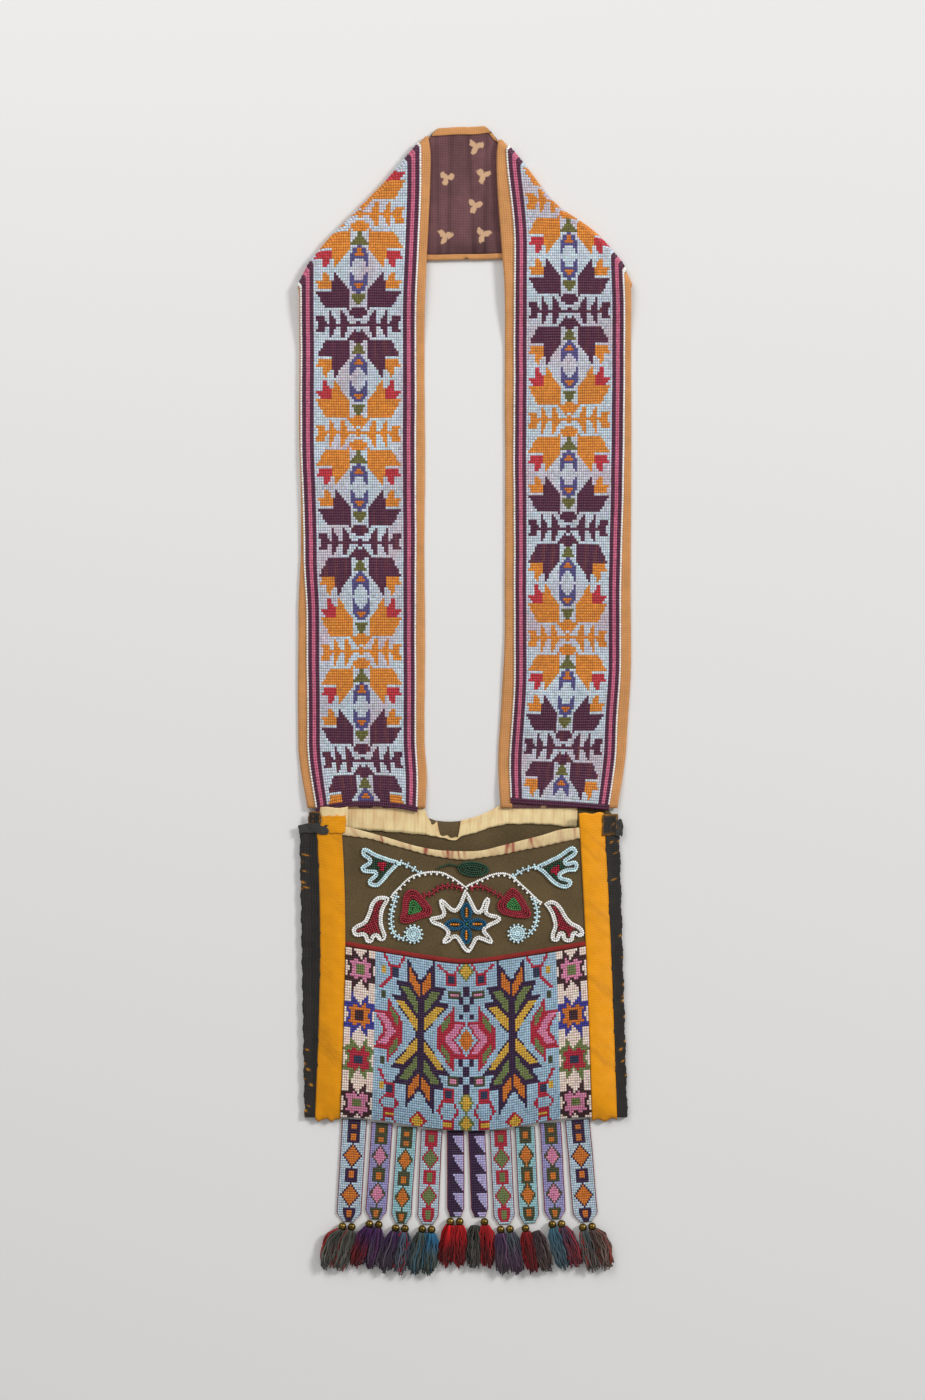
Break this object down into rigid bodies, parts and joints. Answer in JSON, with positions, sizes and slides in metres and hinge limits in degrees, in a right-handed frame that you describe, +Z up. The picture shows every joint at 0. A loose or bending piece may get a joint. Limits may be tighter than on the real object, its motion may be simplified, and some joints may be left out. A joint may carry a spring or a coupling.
{
  "type": "beaded bandolier bag",
  "caption": "Beaded shoulder bag laid flat: a wide folded bead-woven strap, an open wool pouch with bead embroidery and a loom-woven panel, and a fringe of beaded tabs with yarn tassels.",
  "frame": {"origin": "middle of the outline, on the surface that the bag lies on", "axes": "+X to the right across the front, +Y from the tassels to the top of the strap, +Z up out of the front"},
  "size_m": [0.286, 0.9762, 0.0119],
  "materials": {
    "strap_beads": "opaque glass seed beads woven on a loom, pale blue ground with stars",
    "lining_cotton": "plum printed cotton, worn",
    "tan_cotton": "tan cotton tape",
    "wool": "olive brown fulled wool",
    "cream_silk": "aged cream silk",
    "yellow_silk": "golden yellow silk ribbon",
    "black_silk": "worn black ribbed ribbon",
    "red_braid": "red wool braid",
    "panel_beads": "opaque glass seed beads woven on a loom, light blue ground",
    "white_beads": "white glass seed beads",
    "blue_beads": "dark blue glass seed beads",
    "light_blue_beads": "light blue glass seed beads",
    "red_beads": "red glass seed beads",
    "dark_red_beads": "dark red glass seed beads",
    "green_beads": "dark green glass seed beads",
    "tab_beads": "glass seed beads woven on a loom",
    "tassel_yarn": "wool yarn, hung through brass beads"
  },
  "bodies": {
    "root": {"strap_beadwork": "strap_beads", "strap_lining": "lining_cotton", "strap_inner_binding": "tan_cotton", "strap_outer_binding": "tan_cotton", "back_panel": "wool", "mouth_facing": "cream_silk", "front_panel": "wool", "lip_binding": "cream_silk", "red_tape": "red_braid", "loom_panel": "panel_beads", "left_ribbon": "yellow_silk", "right_ribbon": "yellow_silk", "left_edging": "black_silk", "right_edging": "black_silk", "star_border": "white_beads", "star_petals": "blue_beads", "green_leaf": "green_beads", "white_vine": "white_beads", "left_flower": "light_blue_beads", "right_flower": "light_blue_beads", "left_tulip": "dark_red_beads", "right_tulip": "dark_red_beads", "left_heart_bud": "red_beads", "right_heart_bud": "red_beads", "left_rosette": "light_blue_beads", "right_rosette": "light_blue_beads", "tab_01": "tab_beads", "tab_02": "tab_beads", "tab_03": "tab_beads", "tab_04": "tab_beads", "tab_05": "tab_beads", "tab_06": "tab_beads", "tab_07": "tab_beads", "tab_08": "tab_beads", "tab_09": "tab_beads", "tab_10": "tab_beads", "tassel_01a": "tassel_yarn", "tassel_01b": "tassel_yarn", "tassel_02a": "tassel_yarn", "tassel_02b": "tassel_yarn", "tassel_03a": "tassel_yarn", "tassel_03b": "tassel_yarn", "tassel_04a": "tassel_yarn", "tassel_04b": "tassel_yarn", "tassel_05a": "tassel_yarn", "tassel_05b": "tassel_yarn", "tassel_06a": "tassel_yarn", "tassel_06b": "tassel_yarn", "tassel_07a": "tassel_yarn", "tassel_07b": "tassel_yarn", "tassel_08a": "tassel_yarn", "tassel_08b": "tassel_yarn", "tassel_09a": "tassel_yarn", "tassel_09b": "tassel_yarn", "tassel_10a": "tassel_yarn", "tassel_10b": "tassel_yarn"}
  },
  "joints": []
}
